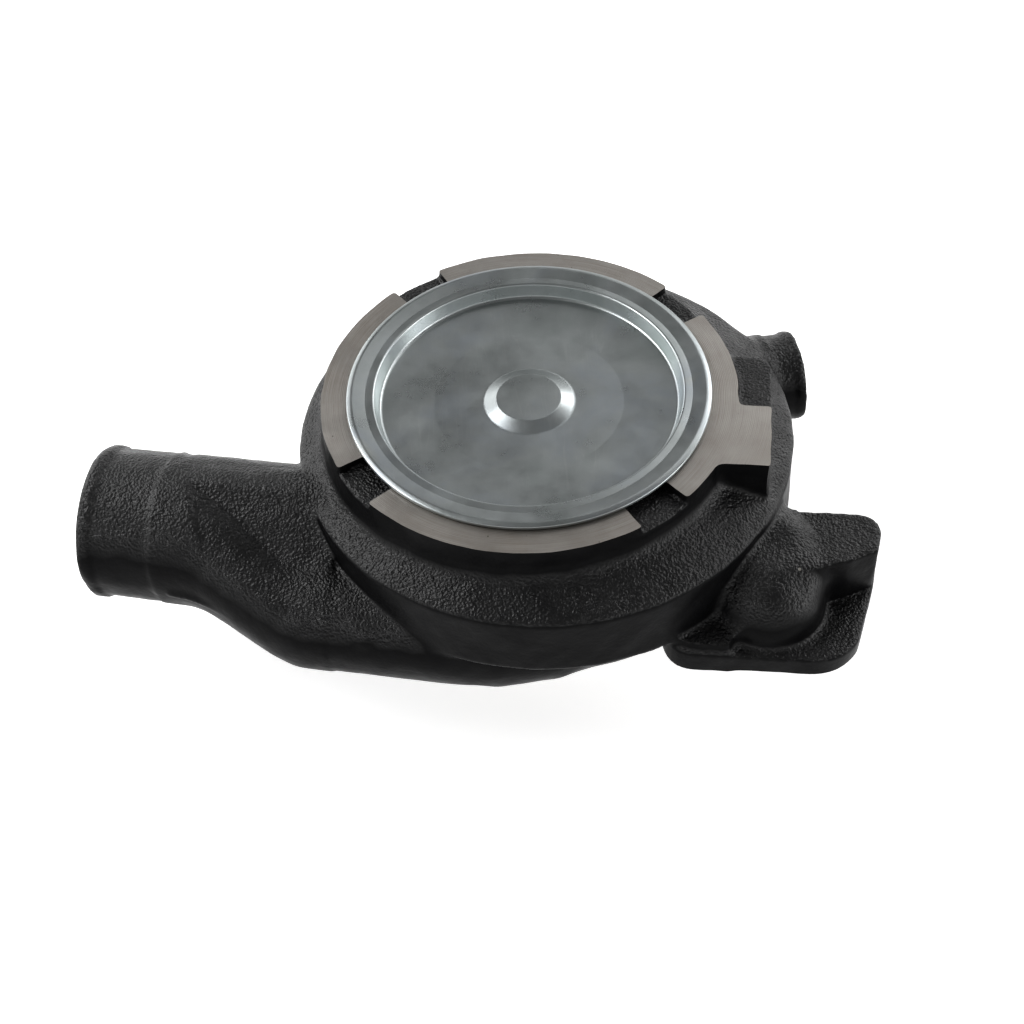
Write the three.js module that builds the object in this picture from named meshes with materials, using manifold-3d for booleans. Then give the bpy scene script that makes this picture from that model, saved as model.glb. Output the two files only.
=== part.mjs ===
// Gear-driven engine coolant pump: a cast-iron volute body with a large inlet spigot, a small
// bypass spigot and a flanged outlet, closed by a pressed steel cover. The shaft runs in two ball
// bearings behind a mechanical seal and carries the impeller and the drive gear.
// Millimetres, +Z up. The origin is where the shaft's axis meets the drive gear's end face,
// and +Z runs along the shaft to the cover.
import * as THREE from 'three';
import { mergeVertices } from 'three/addons/utils/BufferGeometryUtils.js';
import { ConvexGeometry } from 'three/addons/geometries/ConvexGeometry.js';
import Module from 'manifold-3d';

const wasm = await Module();
wasm.setup();

// ---------------------------------------------------------------- driving dimensions
const GAP = 0.3;                 // left between pieces that touch
const ROUND = 32;                // sides of a large round
const RING_SIDES = 24;           // sides of a bearing's rings
const SMALL_ROUND = 22;          // sides of a small round

const FLANGE_TOP = 108;          // top of the cover's flange above the gear's end face
const COVER_R = 65;
const COVER_SHEET = 2;
const COVER_DISH = 7.7;          // depth of the dish below the flange's top
const PAD_Z = FLANGE_TOP - 2.4;  // machined face round the cover
const PAD_R = 74.2;
const PAD_FOOT_Z = 80;           // where the ring and its lug run into the shoulder
const COVER_BORE_R = 57.6;
const POCKET_ANGLES = [34.7, 122.3, 212.5, 304.7];
const POCKET_DEPTH = 3;

const DRUM_CENTRE = [4.9, -0.5];
const DRUM_R = 90;
const DRUM_TOP = 97;
const SHOULDER_Z = 86.5;         // outer edge of the sloping shoulder
const WALL_FOOT_Z = 62;          // where the drum's wall ends above the suction chamber
const SCROLL_R = 60;             // middle line of the rounded underside
const SCROLL_ROUND = 22;
const SCROLL_Z = 56;
const LOBE_ROUND = 21.5;         // the chamber's bulge, from the inlet round the near side
const LOBE_Z = 52.5;

const INLET = { angle: 167.5, offset: 44.5, z: 62.3, reach: 153.5, r: 27.5, bore: 23.5 };
const BYPASS = { angle: 9, offset: 20.2, z: 68, reach: 109, r: 16, bore: 12 };
const PORT_TURN = -8.5;          // the outlet flange and the side lug stand turned by this
const OUTLET = { u: 86, v: -55.5, r: 20, bore: 15, faceZ: 51, plateTop: 59, bossTop: 80 };
const MOUNT_Z = 29;              // plane of the rear flange
const REGISTER_R = 47;           // its centring spigot
const NOSE_R = 34;               // the bearing nose below it
const NOSE_Z = 14;

const BEARING_BORE_R = 26;
const BEARING_WIDTH = 15;
const REAR_BEARING_Z = 19;
const FRONT_BEARING_Z = 40;
const BALLS = 7;
const BALL_CIRCLE_R = 18;
const BALL_R = 4.6;
const SHAFT_R = 10;              // in the bearings
const SEAL_SHAFT_R = 8;          // in the seal and the impeller
const GEAR_SHAFT_R = 8.5;
const THREAD_R = 6;              // under the gear's nut
const GEAR_SEAT_Z = 18.7;        // the shaft's step above the gear
const SEAL_STEP_Z = 57.6;        // top of the collar between the front bearing and the seal
const SHAFT_TOP = 98;

const GEAR_TEETH = 28;
const GEAR_MODULE = 3;
const GEAR_WIDTH = 12;
const IMPELLER_R = 50;
const IMPELLER_PLATE_Z = [92.5, 96];
const VANES = 7;
const VANE_ROOT_R = 23;
const VANE_SWEEP = 46;           // degrees from root to tip
const VANE_HALF = 1.6;
const VANE_FOOT_Z = 73;

const radians = THREE.MathUtils.degToRad;

// ---------------------------------------------------------------- solids
const signedArea = (points) => points.reduce((sum, [x, y], i) => {
  const [nx, ny] = points[(i + 1) % points.length];
  return sum + (x * ny - nx * y) / 2;
}, 0);

// A closed geometry as a solid that can be joined and cut.
function solid(geometry) {
  const bare = geometry.clone();
  bare.deleteAttribute('normal');
  bare.deleteAttribute('uv');
  const merged = mergeVertices(bare, 1e-4);
  return new wasm.Manifold(new wasm.Mesh({
    numProp: 3,
    vertProperties: new Float32Array(merged.attributes.position.array),
    triVerts: new Uint32Array(merged.index.array),
  }));
}

// The surface of a solid, without the slivers that its joins and cuts left.
function geometryOf(manifold) {
  const { vertProperties, triVerts } = manifold.simplify(0.01).getMesh();
  const geometry = new THREE.BufferGeometry();
  geometry.setAttribute('position', new THREE.BufferAttribute(vertProperties, 3));
  geometry.setIndex(new THREE.BufferAttribute(triVerts, 1));
  return geometry;
}

const join = (solids) => solids.reduce((a, b) => a.add(b));
const cut = (base, tools) => tools.reduce((a, b) => a.subtract(b), base);

// A ring or a solid of revolution about Z from its (radius, z) outline.
function latheGeometry(outline, sides = ROUND) {
  const turned = signedArea(outline) < 0 ? [...outline].reverse() : outline;
  const onAxis = turned.findIndex(([r], i) => r === 0 && turned[(i + 1) % turned.length][0] > 0);
  const start = Math.max(onAxis, 0);
  const ordered = turned.map((_, i) => turned[(start + i) % turned.length]);
  if (onAxis < 0) ordered.push(ordered[0]);
  return new THREE.LatheGeometry(ordered.map(([r, z]) => new THREE.Vector2(r, z)), sides)
    .rotateX(Math.PI / 2);
}
const lathe = (outline, sides) => solid(latheGeometry(outline, sides));
const disc = (r, z0, z1, sides) => lathe([[0, z0], [r, z0], [r, z1], [0, z1]], sides);
const ring = (r0, r1, z0, z1, sides) => lathe([[r0, z0], [r1, z0], [r1, z1], [r0, z1]], sides);

// A plate of the given plan between two heights.
function plate(points, z0, z1) {
  const shape = new THREE.Shape(points.map(([x, y]) => new THREE.Vector2(x, y)));
  return solid(new THREE.ExtrudeGeometry(shape, { depth: z1 - z0, bevelEnabled: false })
    .translate(0, 0, z0));
}

const arc = (cx, cy, r, from, to, steps) => Array.from({ length: steps + 1 }, (_, i) => {
  const a = radians(from + (to - from) * i / steps);
  return [cx + r * Math.cos(a), cy + r * Math.sin(a)];
});

// A rectangle with a radius of its own at each corner: near left, near right, far right, far left.
function roundedBox(u0, u1, v0, v1, [a, b, c, d], steps = 4) {
  return [
    ...arc(u0 + a, v0 + a, a, 180, 270, steps), ...arc(u1 - b, v0 + b, b, 270, 360, steps),
    ...arc(u1 - c, v1 - c, c, 0, 90, steps), ...arc(u0 + d, v1 - d, d, 90, 180, steps),
  ];
}
const turned = (manifold, degrees) => manifold.rotate([0, 0, degrees]);

// A solid made along +Z, laid along a horizontal pipe's axis. Its z is the distance from the
// point of that axis that is nearest to the shaft.
function alongPipe(manifold, pipe) {
  return manifold.rotate([0, 90, 0]).translate([0, pipe.offset, pipe.z]).rotate([0, 0, pipe.angle]);
}

// The convex skin of several rings of points.
const skin = (...rings) => solid(new ConvexGeometry(rings.flat()));

// A ring of points across a pipe, at a distance along it: [side, height] from the shaft's axis.
function section(pipe, along, outline) {
  const a = radians(pipe.angle);
  const [c, s] = [Math.cos(a), Math.sin(a)];
  return outline.map(([side, height]) => new THREE.Vector3(
    along * c - side * s, along * s + side * c, height));
}
const ovalOutline = (side, height, rSide, rHeight, steps = 16) => Array.from(
  { length: steps }, (_, i) => {
    const a = 2 * Math.PI * i / steps;
    return [side + rSide * Math.cos(a), height + rHeight * Math.sin(a)];
  });

// ---------------------------------------------------------------- pump body
const drum = (outline) => lathe(outline).translate([...DRUM_CENTRE, 0]);

function drumAndScroll() {
  const underside = arc(SCROLL_R, SCROLL_Z, SCROLL_ROUND, -90, 0, 4);
  return drum([
    [0, SCROLL_Z - SCROLL_ROUND], ...underside, [SCROLL_R + SCROLL_ROUND, WALL_FOOT_Z - 1.5],
    [DRUM_R - 0.6, WALL_FOOT_Z], [DRUM_R, WALL_FOOT_Z + 1.4], [DRUM_R - 0.8, SHOULDER_Z],
    [DRUM_R - 2, SHOULDER_Z + 1], [68, DRUM_TOP], [0, DRUM_TOP],
  ]);
}

// The ring under the cover, with four places left unmachined and a lug and a boss on one side.
function padRing() {
  const base = lathe([[0, PAD_FOOT_Z], [PAD_R + 1.4, PAD_FOOT_Z], [PAD_R + 0.6, 95], [PAD_R, PAD_Z],
    [0, PAD_Z]]);
  const lug = turned(plate([[50, -31], [85.5, -31], [85.9, -3], [50, -3]], PAD_FOOT_Z, PAD_Z),
    PORT_TURN);
  const boss = turned(plate(roundedBox(50, 86, -4, 23.5, [0.5, 0.5, 6, 0.5], 3),
    PAD_FOOT_Z, PAD_Z - 1.6), PORT_TURN);
  const pocketPlan = [[61.5, -9], [82, -10.5], [82, 10.5], [61.5, 9]];
  const pockets = POCKET_ANGLES.map((angle) => turned(
    plate(pocketPlan, PAD_Z - POCKET_DEPTH, PAD_Z + 1), angle));
  return join([cut(base, pockets), lug, boss]);
}

// Points of a ball, for a convex skin.
function ballPoints([x, y], z, r) {
  const position = new THREE.SphereGeometry(r, 14, 8).attributes.position;
  return Array.from({ length: position.count }, (_, i) => new THREE.Vector3(
    position.getX(i) + x, position.getZ(i) + y, position.getY(i) + z));
}
const inletPoint = (along, side) => {
  const a = radians(INLET.angle);
  return [along * Math.cos(a) - side * Math.sin(a), along * Math.sin(a) + side * Math.cos(a)];
};
const drumPoint = (r, degrees) => [DRUM_CENTRE[0] + r * Math.cos(radians(degrees)),
  DRUM_CENTRE[1] + r * Math.sin(radians(degrees))];

// The suction chamber's bulge: in line with the inlet, then round the drum's near side.
function suctionLobe() {
  const path = [inletPoint(68, 66.8), inletPoint(20, 66.8), drumPoint(66.5, -109),
    drumPoint(61.5, -95), drumPoint(56, -75), drumPoint(48, -55)];
  const balls = path.map((point) => ballPoints(point, LOBE_Z, LOBE_ROUND));
  const legs = balls.slice(1).map((ball, i) => skin(balls[i], ball));
  const flare = skin(section(INLET, INLET.reach - 40, ovalOutline(INLET.offset, INLET.z,
    INLET.r, INLET.r)), balls[0], ballPoints(inletPoint(66, 46), LOBE_Z + 2, LOBE_ROUND));
  return join([...legs, flare]);
}

function inletDuct() {
  const { r, z, reach, offset } = INLET;
  const spigotStart = reach - 40;
  const spigot = alongPipe(lathe([
    [0, spigotStart - 4], [r, spigotStart - 4], [r, reach - 6], [r + 0.8, reach - 4.5],
    [r + 0.8, reach - 2], [r - 0.6, reach], [0, reach],
  ]), INLET);
  // above the chamber: a flat top falling towards the near side, and a drafted near wall
  const farSide = [[33, 86.5], [25, 82.5], [19, 73], [17, 62], [19, 50]];
  const duct = skin(
    section(INLET, spigotStart, ovalOutline(offset, z, r - 0.6, r - 0.6)),
    section(INLET, 94, [[69, 77], [77.5, WALL_FOOT_Z], [77.5, 52], ...farSide]),
    section(INLET, 59, [[80.8, 74], [82, WALL_FOOT_Z], [82, 52], ...farSide]),
    section(INLET, 25, [[80.8, 74], [82, WALL_FOOT_Z], [82, 52], [40, 80], [40, 52]]));
  return join([spigot, duct, suctionLobe()]);
}

function bypassNeck() {
  const { r, z, reach, offset } = BYPASS;
  const spigot = alongPipe(lathe([
    [0, 70], [r, 70], [r, reach - 5], [r + 0.7, reach - 4], [r + 0.7, reach - 2],
    [r - 0.5, reach], [0, reach],
  ], SMALL_ROUND), BYPASS);
  const root = skin(
    section(BYPASS, 96, ovalOutline(offset, z, r, r)),
    section(BYPASS, 70, ovalOutline(offset - 3, z, r + 8, r + 2)));
  return join([spigot, root]);
}

// The outlet: a tube that turns down from the drum into a flange, with a tall boss on one ear.
const OUTLET_PLAN = [
  ...arc(62.5, -66.5, 10, 180, 270, 3), ...arc(102, -58.5, 18, 270, 335, 4), [123.6, -46.8],
  ...arc(117.7, -35, 8, 0, 90, 3), [52.5, -27]];
const BOSS_PLAN = [[92, -56], [104.4, -52.8], [114.3, -49.4], [123.8, -44.2],
  ...arc(117.7, -36, 7.8, 0, 90, 3), [92, -28.2]];
const OUTLET_BOLTS = [[114.5, -38.5], [62.5, -66]];
function outlet() {
  const { u, v, r, faceZ, plateTop, bossTop } = OUTLET;
  const flange = plate(OUTLET_PLAN, faceZ, plateTop);
  const boss = plate(BOSS_PLAN, plateTop - 1, bossTop);
  const foot = disc(9, plateTop - 1, WALL_FOOT_Z + 4, 12).translate([...OUTLET_BOLTS[1], 0]);
  const tube = lathe([[0, faceZ + 1], [r + 2.5, faceZ + 1], [r + 2.5, plateTop], [r, plateTop + 2.5],
    ...arc(0, plateTop + 4, r, 0, 90, 5)], 24).translate([u, v, 0]);
  const heel = solid(new THREE.SphereGeometry(1, 16, 10)).scale([24, 22, 18])
    .translate([u - 12, v + 12, plateTop + 7]);
  return turned(join([flange, boss, foot, tube, heel]), PORT_TURN);
}

// Flat rear flange with its register, bearing nose and four bosses for the bolts.
const REAR_BOLTS = [25, 110, 175, 247].map((angle) => {
  const a = radians(angle);
  return [60 * Math.cos(a), 60 * Math.sin(a)];
});
function rearFlange() {
  const flange = lathe([
    [0, NOSE_Z], [NOSE_R, NOSE_Z], [NOSE_R, 23], [REGISTER_R, 23], [REGISTER_R, 24.7],
    [44.9, 24.7], [44.9, 27.3], [REGISTER_R, 27.3], [REGISTER_R, MOUNT_Z], [58, MOUNT_Z],
    [60, 46], [0, 46],
  ]);
  const bosses = REAR_BOLTS.map(([x, y]) => disc(10, MOUNT_Z, 48, 20).translate([x, y, 0]));
  return join([flange, ...bosses]);
}

// Spiral plan of the pressure chamber round the impeller, opening towards the outlet.
function spiralPlan() {
  const points = Array.from({ length: 21 }, (_, i) => {
    const angle = -20 + 15 * i;
    const r = 57 + 22 * i / 20;
    return [r * Math.cos(radians(angle)), r * Math.sin(radians(angle))];
  });
  return [...points, [40, -60]];
}

const DIVIDER = [66, 71];        // wall between the suction chamber and the impeller
const CHANNEL_TOP = 78;
function cavities() {
  const { z, reach, bore, offset } = INLET;
  const coverBore = disc(COVER_BORE_R, 97, PAD_Z + 2);
  const sealGroove = ring(50, 59.9, 99.2, 101.8);
  const impellerRoom = disc(56, DIVIDER[1], 98);
  const spiral = plate(spiralPlan(), DIVIDER[1], 85);
  const channel = plate([[0, -77], [30, -76], [50, -70], [66, -67], [76, -67], [76, -56],
    [60, -50], [30, -50], [0, -54]], DIVIDER[1], CHANNEL_TOP);
  const port = turned(lathe([[0, 40], [OUTLET.bore, 40], [OUTLET.bore, 70], [10, 76.5], [0, 76.5]],
    24).translate([OUTLET.u, OUTLET.v, 0]), PORT_TURN);
  const eye = disc(31, DIVIDER[0] - 1, DIVIDER[1] + 1);
  const suction = drum([[0, 45], [48, 42], [64, 42], [75, 51], [75, DIVIDER[0]], [0, DIVIDER[0]]]);
  const suctionPipe = alongPipe(disc(bore, reach - 43, reach + 5, 24), INLET);
  const suctionFlare = skin(
    section(INLET, reach - 42, ovalOutline(offset, z, bore, bore)),
    section(INLET, 72, ovalOutline(offset + 6, 54, 30, 11.6)));
  const suctionEntry = skin(
    section(INLET, 76, ovalOutline(offset + 6, 54.2, 29, 11)),
    section(INLET, 40, ovalOutline(offset + 3, 54, 26, 11)));
  const bypassBore = alongPipe(disc(BYPASS.bore, 70, BYPASS.reach + 5, 24), BYPASS);
  return [coverBore, sealGroove, impellerRoom, spiral, channel, port, eye, suction,
    suctionPipe, suctionFlare, suctionEntry, bypassBore];
}

const WEEP = { angle: 82, z: 57 };
const SEAL_POCKET_Z = 60;
const TOWER_TOP = 68;
// The seal tower stands in the suction chamber, held by the rib that the weep hole runs through.
function sealTower() {
  const tower = lathe([[0, 40], [36, 40], [33, 50], [31, 58], [24, 62], [24, TOWER_TOP],
    [0, TOWER_TOP]]);
  const rib = turned(plate([[0, -5], [79, -5], [79, 5], [0, 5]], 50, DIVIDER[0] + 1), WEEP.angle);
  return join([tower, rib.subtract(disc(31, DIVIDER[0] - 1, DIVIDER[1] + 1))]);
}

function bores() {
  const bearings = disc(BEARING_BORE_R, 10, 55.3);
  const snapGroove = ring(20, 27.4, 16.6, 18.9);
  const drain = disc(14, 55, SEAL_POCKET_Z + 1);
  const sealPocket = disc(18.5, SEAL_POCKET_Z, TOWER_TOP + 1);
  const weep = alongPipe(disc(2.2, 10, 120, 12), { ...WEEP, offset: 0 });
  const rearHoles = REAR_BOLTS.map(([x, y]) => disc(4.2, 20, 39, 12).translate([x, y, 0]));
  const portHoles = OUTLET_BOLTS.map(([u, v], i) => turned(
    disc(3.4, 40, i ? 61 : 70, 12).translate([u, v, 0]), PORT_TURN));
  return [bearings, snapGroove, drain, sealPocket, weep, ...rearHoles, ...portHoles];
}

function pumpBody() {
  const casting = join([drumAndScroll(), padRing(), inletDuct(), bypassNeck(), outlet(),
    rearFlange()]);
  return cut(join([cut(casting, cavities()), sealTower()]), bores());
}

// ---------------------------------------------------------------- cover
function frontCover() {
  const top = FLANGE_TOP;
  const s = COVER_SHEET;
  const upper = [
    [0, top - 5.7], [11.9, top - 5.7], [13.8, top - 6.2], [16.3, top - COVER_DISH], [34, top - 7.3],
    [48, top - 6.6], [52.4, top - 6.1], [54, top - 4.8], [54.8, top - 1.5], [56, top - 0.5],
    [58, top - 0.8], [61, top - 0.3], [63.6, top], [COVER_R, top - 0.8],
  ];
  const lower = [
    [COVER_R, top - s + 0.4], [COVER_R - 0.6, top - s], [57.1, top - s], [57.1, top - 7],
    [54.6, top - 6.6 - s], [48, top - 6.6 - s], [34, top - 7.3 - s],
    [15, top - COVER_DISH - s], [12.6, top - 6.2 - s], [11.4, top - 5.7 - s], [0, top - 5.7 - s],
  ];
  return latheGeometry([...upper, ...lower], 46);
}
const torusOutline = (r, z, wire) => arc(r, z, wire, 0, 288, 4);

// ---------------------------------------------------------------- bearings
function raceGroove(z0, side) {
  const middle = z0 + BEARING_WIDTH / 2;
  const span = 50;
  return side > 0
    ? arc(BALL_CIRCLE_R, middle, BALL_R + GAP, span, -span, 4)
    : arc(BALL_CIRCLE_R, middle, BALL_R + GAP, 180 + span, 180 - span, 4);
}
const outerRace = (z0) => latheGeometry([
  [BEARING_BORE_R - GAP, z0], [BEARING_BORE_R - GAP, z0 + BEARING_WIDTH],
  [21.1, z0 + BEARING_WIDTH], ...raceGroove(z0, 1), [21.1, z0]], RING_SIDES);
const innerRace = (z0) => latheGeometry([
  [SHAFT_R + GAP, z0 + BEARING_WIDTH], [SHAFT_R + GAP, z0],
  [14.9, z0], ...raceGroove(z0, -1), [14.9, z0 + BEARING_WIDTH]], RING_SIDES);

const ballAngle = (i) => 360 * i / BALLS;
function cage(z0) {
  const middle = z0 + BEARING_WIDTH / 2;
  const band = ring(16.6, 19.4, middle - 5.8, middle + 5.8, RING_SIDES);
  const windows = Array.from({ length: BALLS }, (_, i) => alongPipe(
    disc(BALL_R + 2 * GAP, 10, 26, 8), { angle: ballAngle(i), offset: 0, z: middle }));
  return geometryOf(cut(band, windows));
}
const shield = (z0) => latheGeometry([[15.3, z0], [20.8, z0], [20.8, z0 + 0.9], [15.3, z0 + 0.9]],
  RING_SIDES);
function snapRing() {
  const band = ring(23.2, 27, 16.9, 18.6, RING_SIDES);
  const opening = plate([[20, -5], [30, -7], [30, 7], [20, 5]], 16, 20);
  return geometryOf(band.subtract(opening));
}

// ---------------------------------------------------------------- rotating pieces
const shaft = () => latheGeometry([
  [0, 0], [THREAD_R - 0.8, 0], [THREAD_R, 0.8], [THREAD_R, 10], [GEAR_SHAFT_R, 10],
  [GEAR_SHAFT_R, GEAR_SEAT_Z], [SHAFT_R, GEAR_SEAT_Z], [SHAFT_R, 55.3], [12.5, 55.3],
  [12.5, SEAL_STEP_Z], [SEAL_SHAFT_R, SEAL_STEP_Z], [SEAL_SHAFT_R, SHAFT_TOP - 0.8],
  [SEAL_SHAFT_R - 1, SHAFT_TOP], [0, SHAFT_TOP],
], SMALL_ROUND);

function gearPlan() {
  const pitchR = GEAR_TEETH * GEAR_MODULE / 2;
  const tipR = pitchR + GEAR_MODULE;
  const rootR = pitchR - 1.25 * GEAR_MODULE;
  const pitch = 360 / GEAR_TEETH;
  // half of a tooth's width, as a share of the pitch, at each radius up its flank
  const flank = [[rootR, 0.36], [pitchR, 0.245], [tipR, 0.13]];
  return Array.from({ length: GEAR_TEETH }, (_, i) => [
    ...flank.map(([r, half]) => [r, -half]), ...[...flank].reverse(),
  ].map(([r, share]) => {
    const a = radians((i + share) * pitch);
    return [r * Math.cos(a), r * Math.sin(a)];
  })).flat();
}
function driveGear() {
  const rim = plate(gearPlan(), 0, GEAR_WIDTH);
  const hub = disc(14, 5, GEAR_SEAT_Z, SMALL_ROUND);
  const face = ring(17.6, 34, GEAR_WIDTH - 3, GEAR_WIDTH + 1);
  const recess = disc(15, -1, 10, SMALL_ROUND);
  const bore = disc(GEAR_SHAFT_R + GAP, 5, 20, SMALL_ROUND);
  const holes = Array.from({ length: 6 }, (_, i) => turned(
    disc(4, -1, 20, 10).translate([25.5, 0, 0]), 60 * i));
  return geometryOf(cut(join([rim, hub]), [face, recess, bore, ...holes]));
}
const hexPlan = (flats) => Array.from({ length: 6 }, (_, i) => {
  const a = radians(60 * i);
  const r = flats / 2 / Math.cos(radians(30));
  return [r * Math.cos(a), r * Math.sin(a)];
});
const gearNut = () => geometryOf(
  plate(hexPlan(19), 1.6, 7.9).subtract(disc(THREAD_R + GAP, 0, 9, SMALL_ROUND)));
const gearWasher = () => latheGeometry([[6.4, 8.2], [12, 8.2], [12, 9.7], [6.4, 9.7]], SMALL_ROUND);

function impeller() {
  const back = disc(IMPELLER_R, ...IMPELLER_PLATE_Z);
  const hub = lathe([[0, 83.3], [13, 83.3], [15, 85], [19, 92.6], [19, 94], [0, 94]], SMALL_ROUND);
  // each vane sweeps back as it runs outwards
  const vane = Array.from({ length: VANES }, (_, i) => {
    const side = (half) => Array.from({ length: 7 }, (_, k) => {
      const r = VANE_ROOT_R + (IMPELLER_R - 0.6 - VANE_ROOT_R) * k / 6;
      const a = radians(360 * i / VANES - VANE_SWEEP * k / 6) + half / r;
      return [r * Math.cos(a), r * Math.sin(a)];
    });
    return plate([...side(-VANE_HALF), ...side(VANE_HALF).reverse()], VANE_FOOT_Z,
      IMPELLER_PLATE_Z[0] + 0.5);
  });
  const bore = disc(SEAL_SHAFT_R + GAP, 70, 100, SMALL_ROUND);
  return geometryOf(join([back, hub, ...vane]).subtract(bore));
}

// ---------------------------------------------------------------- mechanical seal
const sealCup = () => latheGeometry([
  [9.5, 60.3], [18.2, 60.3], [18.2, 68.3], [20.6, 68.3], [20.6, 69.3], [17.2, 69.3],
  [17.2, 61.3], [9.5, 61.3],
], SMALL_ROUND);
const sealBellows = () => latheGeometry([
  [9.5, 61.6], [13.8, 61.6], [13.8, 62.8], [11.2, 63.6], [12.8, 65.8], [11.2, 68], [12.8, 70.2],
  [12, 72.6], [9.5, 72.6],
], SMALL_ROUND);
const carbonRing = () => latheGeometry([
  [9.5, 72.9], [16.2, 72.9], [16.2, 75.3], [13.2, 75.3], [13.2, 77.2], [9.5, 77.2],
], SMALL_ROUND);
const sealSeat = () => latheGeometry(
  [[10.3, 77.5], [14.6, 77.5], [14.6, 81.2], [10.3, 81.2]], SMALL_ROUND);
const seatGrommet = () => latheGeometry([
  [8.3, 78], [10, 78], [10, 81.5], [14.6, 81.5], [14.6, 83], [8.3, 83]], SMALL_ROUND);

class Helix extends THREE.Curve {
  constructor(r, z0, z1, turns) {
    super();
    Object.assign(this, { r, z0, z1, turns });
  }

  getPoint(t, target = new THREE.Vector3()) {
    const a = 2 * Math.PI * this.turns * t;
    return target.set(this.r * Math.cos(a), this.r * Math.sin(a), this.z0 + (this.z1 - this.z0) * t);
  }
}
function sealSpring() {
  const wire = new THREE.Shape(arc(0, 0, 0.65, 0, 300, 5).map(([x, y]) => new THREE.Vector2(x, y)));
  return new THREE.ExtrudeGeometry(wire, {
    steps: 36, extrudePath: new Helix(15.3, 62.4, 71.8, 4), bevelEnabled: false });
}

// ---------------------------------------------------------------- materials
const finish = (color, metalness, roughness) => ({ color, metalness, roughness });
const BLACK_PAINT = finish(0x141416, 0.1, 0.45);
const ZINC = finish(0xb4bcbe, 0.9, 0.32);
const STEEL = finish(0x9a9da0, 0.95, 0.3);
const CAST_IRON = finish(0x5c5a57, 0.8, 0.6);
const RUBBER = finish(0x1b1b1c, 0, 0.8);
const BRASS = finish(0xb08d4a, 0.9, 0.35);
const CARBON = finish(0x2a2b2d, 0.2, 0.5);
const CERAMIC = finish(0xd9d6cc, 0, 0.35);

const pump = new THREE.Group();
function piece(name, geometry, look) {
  const mesh = new THREE.Mesh(geometry, new THREE.MeshStandardMaterial(look));
  mesh.name = name;
  pump.add(mesh);
  return mesh;
}

// ---------------------------------------------------------------- assembly
piece('pump_body', geometryOf(pumpBody()), BLACK_PAINT);
piece('front_cover', frontCover(), ZINC);
piece('cover_o_ring', latheGeometry(torusOutline(58.55, 100.5, 1)), RUBBER);
piece('register_o_ring', latheGeometry(torusOutline(46.3, 26, 0.95)), RUBBER);

const bearings = [['rear', REAR_BEARING_Z], ['front', FRONT_BEARING_Z]];
for (const [end, z0] of bearings) {
  piece(`${end}_bearing_outer_race`, outerRace(z0), STEEL);
  piece(`${end}_bearing_inner_race`, innerRace(z0), STEEL);
  piece(`${end}_bearing_cage`, cage(z0), BRASS);
  for (let i = 0; i < BALLS; i += 1) {
    const ball = piece(`${end}_bearing_ball_${i + 1}`, new THREE.SphereGeometry(BALL_R, 8, 5), STEEL);
    const a = radians(ballAngle(i));
    ball.position.set(BALL_CIRCLE_R * Math.cos(a), BALL_CIRCLE_R * Math.sin(a), z0 + BEARING_WIDTH / 2);
  }
}
piece('rear_bearing_shield', shield(REAR_BEARING_Z + 0.5), STEEL);
piece('front_bearing_shield', shield(FRONT_BEARING_Z + BEARING_WIDTH - 1.4), STEEL);
const spacerZ = [REAR_BEARING_Z + BEARING_WIDTH + GAP, FRONT_BEARING_Z - GAP];
const spacer = (r0, r1) => latheGeometry(
  [[r0, spacerZ[0]], [r1, spacerZ[0]], [r1, spacerZ[1]], [r0, spacerZ[1]]], RING_SIDES);
piece('bearing_outer_spacer', spacer(22.5, BEARING_BORE_R - GAP), STEEL);
piece('bearing_inner_spacer', spacer(SHAFT_R + GAP, 13), STEEL);
piece('bearing_snap_ring', snapRing(), STEEL);

piece('pump_shaft', shaft(), STEEL);
piece('drive_gear', driveGear(), STEEL);
piece('gear_washer', gearWasher(), STEEL);
piece('gear_nut', gearNut(), ZINC);
piece('impeller', impeller(), CAST_IRON);

piece('seal_cup', sealCup(), BRASS);
piece('seal_bellows', sealBellows(), RUBBER);
piece('seal_spring', sealSpring(), STEEL);
piece('seal_carbon_ring', carbonRing(), CARBON);
piece('seal_seat', sealSeat(), CERAMIC);
piece('seal_seat_grommet', seatGrommet(), RUBBER);

export default pump;
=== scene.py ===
# The looks of the engine coolant pump: the painted casting with its machined faces, the pressed
# cover, the drive gear and the pieces inside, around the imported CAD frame.
import math

import bmesh
import bpy
import numpy as np
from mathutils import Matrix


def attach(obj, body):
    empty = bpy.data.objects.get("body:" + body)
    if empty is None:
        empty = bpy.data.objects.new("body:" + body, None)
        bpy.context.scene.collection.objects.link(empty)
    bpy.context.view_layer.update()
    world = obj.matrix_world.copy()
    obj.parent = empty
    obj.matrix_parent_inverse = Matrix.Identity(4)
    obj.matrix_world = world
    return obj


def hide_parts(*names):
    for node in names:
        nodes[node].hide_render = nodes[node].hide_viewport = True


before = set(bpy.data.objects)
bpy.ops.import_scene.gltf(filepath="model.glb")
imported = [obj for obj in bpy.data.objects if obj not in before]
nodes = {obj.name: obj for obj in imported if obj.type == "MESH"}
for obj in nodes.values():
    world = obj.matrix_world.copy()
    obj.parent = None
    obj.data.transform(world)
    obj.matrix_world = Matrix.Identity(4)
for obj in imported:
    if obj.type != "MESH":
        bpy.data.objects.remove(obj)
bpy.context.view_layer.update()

import openvdb
from mathutils import Matrix, Vector

MM = 0.001

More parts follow.
